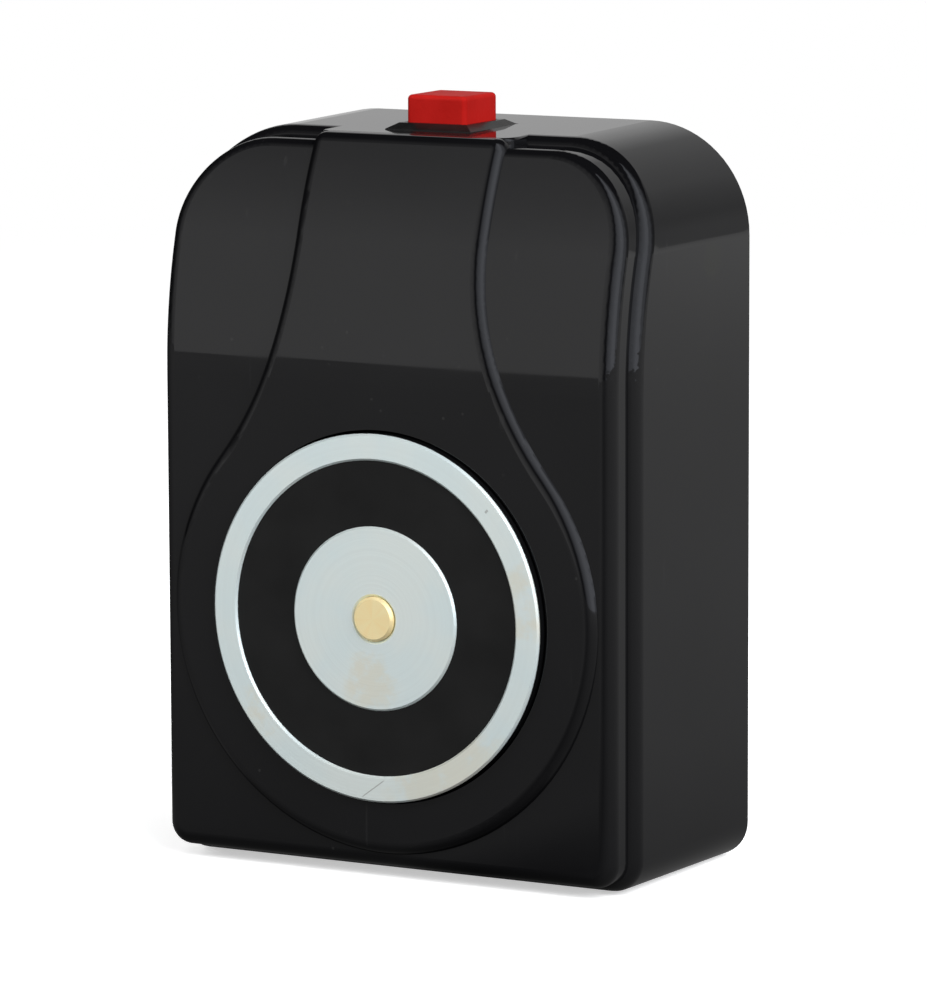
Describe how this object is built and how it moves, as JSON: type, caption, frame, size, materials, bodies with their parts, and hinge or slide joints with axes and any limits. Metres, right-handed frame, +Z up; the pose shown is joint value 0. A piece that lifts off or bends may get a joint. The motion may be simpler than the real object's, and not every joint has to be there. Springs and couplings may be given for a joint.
{
  "type": "electromagnetic door holder",
  "caption": "Wall-mounted electromagnetic door holder: a round holding magnet with an ejector pin in a moulded hood, with a release button on top.",
  "frame": {"origin": "on the wall plane, at the magnet's axis", "axes": "+Y into the wall, so the front faces -Y; +Z up, towards the push button; +X to the right as seen from the wall"},
  "size_m": [0.08, 0.0441, 0.1156],
  "materials": {
    "black_plastic": "high gloss moulded black",
    "plated_steel": "zinc plated, clear passivated",
    "dark_screw": "black passivated",
    "black_rubber": "matte",
    "zinc_plated_iron": "turned and zinc plated, faint yellow patches",
    "white_nylon": "natural",
    "enamelled_copper": "enamelled",
    "potting_resin": "matte, faintly marked",
    "brass": "turned",
    "spring_steel": "drawn wire",
    "grey_aluminium": "satin",
    "lead_insulation": "smooth",
    "board_laminate": "green lacquer",
    "green_plastic": "moulded",
    "diode_body": "moulded",
    "matte_black_plastic": "fine matte",
    "red_plastic": "satin red"
  },
  "bodies": {
    "case": {"front_cover": "black_plastic", "base_plate": "plated_steel", "cover_brackets": "plated_steel", "clinch_nuts": "plated_steel", "cover_screws": "dark_screw", "cable_grommet": "black_rubber", "magnet_pot": "zinc_plated_iron", "coil_bobbin": "white_nylon", "coil_winding": "enamelled_copper", "potting_ring": "potting_resin", "ejector_spring": "spring_steel", "ejector_plug": "plated_steel", "magnet_spacer": "grey_aluminium", "magnet_screws": "plated_steel", "lead_bushing": "white_nylon", "coil_leads": "lead_insulation", "circuit_board": "board_laminate", "board_spacers": "brass", "board_screws": "plated_steel", "terminal_housing": "green_plastic", "terminal_cages": "brass", "terminal_screws": "plated_steel", "suppressor_diode": "diode_body", "switch_body": "matte_black_plastic", "switch_base": "matte_black_plastic", "switch_terminals": "brass", "switch_spring": "spring_steel", "switch_leads": "lead_insulation"},
    "button": {"button_cap": "red_plastic", "contact_bridge": "brass"},
    "pin": {"ejector_pin": "brass"}
  },
  "joints": [
    {"name": "button_press", "type": "slide", "parent": "case", "child": "button", "axis": [0, 0, -1], "range_m": [0, 0.0025], "stiffness_N_per_m": 400, "springref_m": -0.002, "deforming": ["switch_spring"]},
    {"name": "pin_push", "type": "slide", "parent": "case", "child": "pin", "axis": [0, 1, 0], "range_m": [0, 0.00045], "stiffness_N_per_m": 3000, "springref_m": -0.002, "deforming": ["ejector_spring"]}
  ]
}
